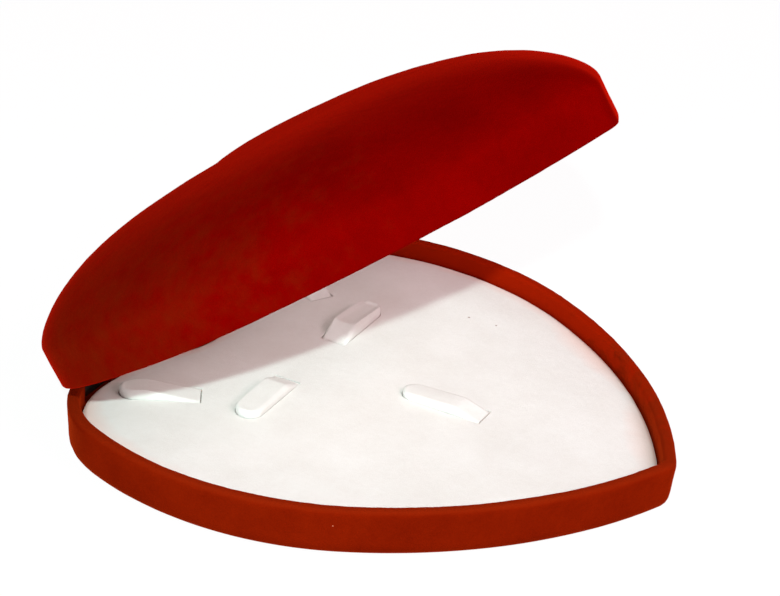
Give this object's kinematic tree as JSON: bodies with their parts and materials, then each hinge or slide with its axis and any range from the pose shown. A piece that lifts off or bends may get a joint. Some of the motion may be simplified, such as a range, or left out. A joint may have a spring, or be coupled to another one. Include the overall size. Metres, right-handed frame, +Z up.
{
  "type": "heart shaped jewellery set case",
  "caption": "Heart-shaped flocked presentation case: a padded tray with bendable retaining tongues and a domed, satin-lined lid on steel hinges.",
  "frame": {"origin": "middle of the resting face under the tray, halfway between the heart's point and the backs of its lobes", "axes": "+Z up; +Y towards the lobes, where the hinges are, so the point faces -Y; +X to the right when looking along +Y"},
  "size_m": [0.1856, 0.1885, 0.1339],
  "materials": {
    "red_flock": "matte",
    "white_velvet": "matte",
    "white_satin": "satin",
    "sponge": "matte",
    "card": "matte",
    "hinge_steel": "satin"
  },
  "bodies": {
    "tray": {"base_shell": "red_flock", "base_bottom_sheet": "card", "pad_board": "card", "pad_foam": "sponge", "pad_cover": "white_velvet", "hinge_base_leaf_left": "hinge_steel", "hinge_base_leaf_right": "hinge_steel", "hinge_pin_left": "hinge_steel", "hinge_pin_right": "hinge_steel", "hinge_base_rivets": "hinge_steel"},
    "lid": {"lid_shell": "red_flock", "lid_liner_ring": "card", "lid_foam": "sponge", "lid_satin": "white_satin", "hinge_lid_leaf_left": "hinge_steel", "hinge_lid_leaf_right": "hinge_steel", "hinge_lid_rivets": "hinge_steel"},
    "upper_left_tongue": {"tongue_upper_left": "white_velvet"},
    "upper_right_tongue": {"tongue_upper_right": "white_velvet"},
    "middle_left_tongue": {"tongue_middle_left": "white_velvet"},
    "middle_right_tongue": {"tongue_middle_right": "white_velvet"},
    "front_tongue": {"tongue_front": "white_velvet"}
  },
  "joints": [
    {"name": "lid_hinge", "type": "hinge", "parent": "tray", "child": "lid", "pos_m": [0, 0.09028, 0.0169], "axis": [-1, 0, 0], "range_deg": [-35.2, 59.8]},
    {"name": "upper_left_tongue_bend", "type": "hinge", "parent": "tray", "child": "upper_left_tongue", "pos_m": [-0.04, 0.05578, 0.01086], "axis": [0.8746, 0.4848, 0], "range_deg": [-2, 40], "stiffness_Nm_per_rad": 0.001},
    {"name": "upper_right_tongue_bend", "type": "hinge", "parent": "tray", "child": "upper_right_tongue", "pos_m": [0.04, 0.05578, 0.01086], "axis": [0.8746, -0.4848, 0], "range_deg": [-2, 40], "stiffness_Nm_per_rad": 0.001},
    {"name": "middle_left_tongue_bend", "type": "hinge", "parent": "tray", "child": "middle_left_tongue", "pos_m": [-0.0158, 0.0376, 0.01086], "axis": [0, 1, 0], "range_deg": [-2, 40], "stiffness_Nm_per_rad": 0.001},
    {"name": "middle_right_tongue_bend", "type": "hinge", "parent": "tray", "child": "middle_right_tongue", "pos_m": [0.0158, 0.0376, 0.01086], "axis": [0, -1, 0], "range_deg": [-2, 40], "stiffness_Nm_per_rad": 0.001},
    {"name": "front_tongue_bend", "type": "hinge", "parent": "tray", "child": "front_tongue", "pos_m": [0, -0.02458, 0.01086], "axis": [1, 0, 0], "range_deg": [-1, 40], "stiffness_Nm_per_rad": 0.001}
  ]
}
